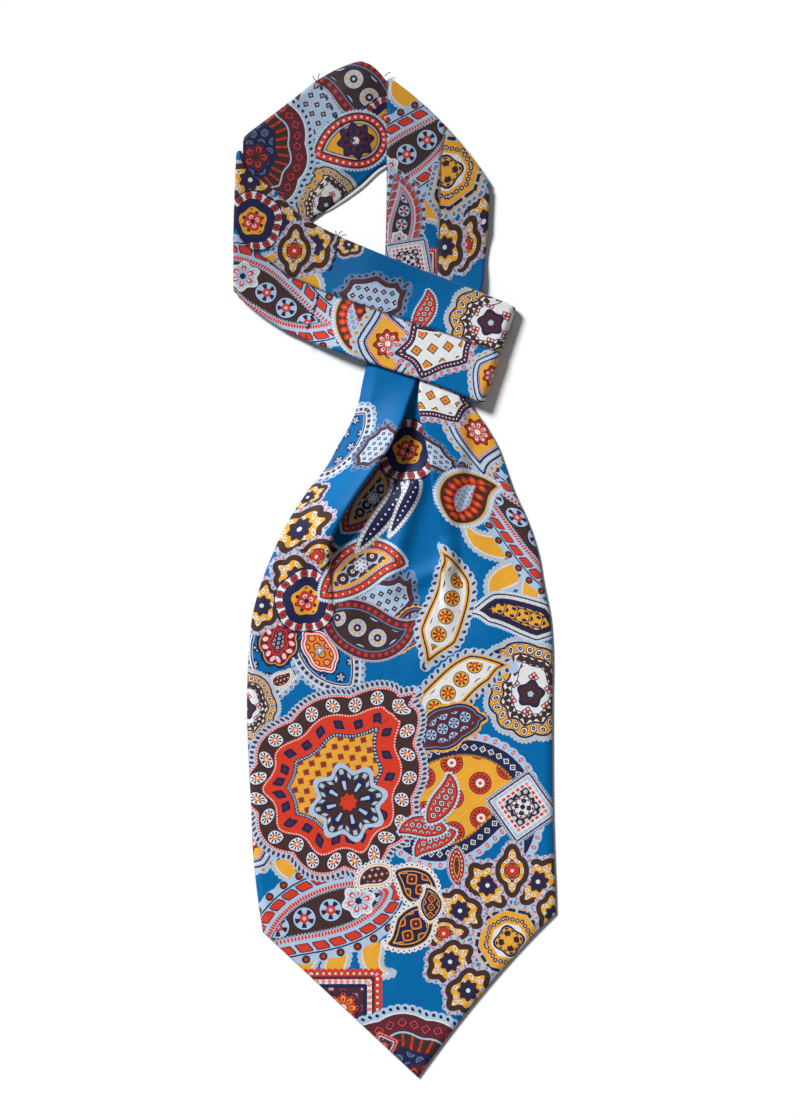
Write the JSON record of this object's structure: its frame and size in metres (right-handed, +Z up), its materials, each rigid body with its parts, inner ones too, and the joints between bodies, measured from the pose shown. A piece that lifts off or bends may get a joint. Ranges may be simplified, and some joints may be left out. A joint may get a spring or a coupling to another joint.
{
  "type": "silk cravat",
  "caption": "Printed silk day cravat laid flat: wide pointed blades, one on the other, under a pleated neckband that is looped and crossed over itself.",
  "frame": {"origin": "on the surface it lies on, under the middle of its outline", "axes": "+Y up the laid cravat towards the neckband's loop, +X to the right, +Z up from the surface"},
  "size_m": [0.1572, 0.4947, 0.0083],
  "materials": {
    "printed_silk": "twill-woven silk, printed with paisleys in azure, light blue, red, maroon, navy, yellow and white, soft sheen",
    "silk_thread": "dark blue silk sewing thread"
  },
  "bodies": {
    "root": {"front_blade": "printed_silk", "rear_blade": "printed_silk", "riser_strand": "printed_silk", "top_strand": "printed_silk", "cross_strand": "printed_silk", "band_turn": "printed_silk"}
  },
  "joints": []
}
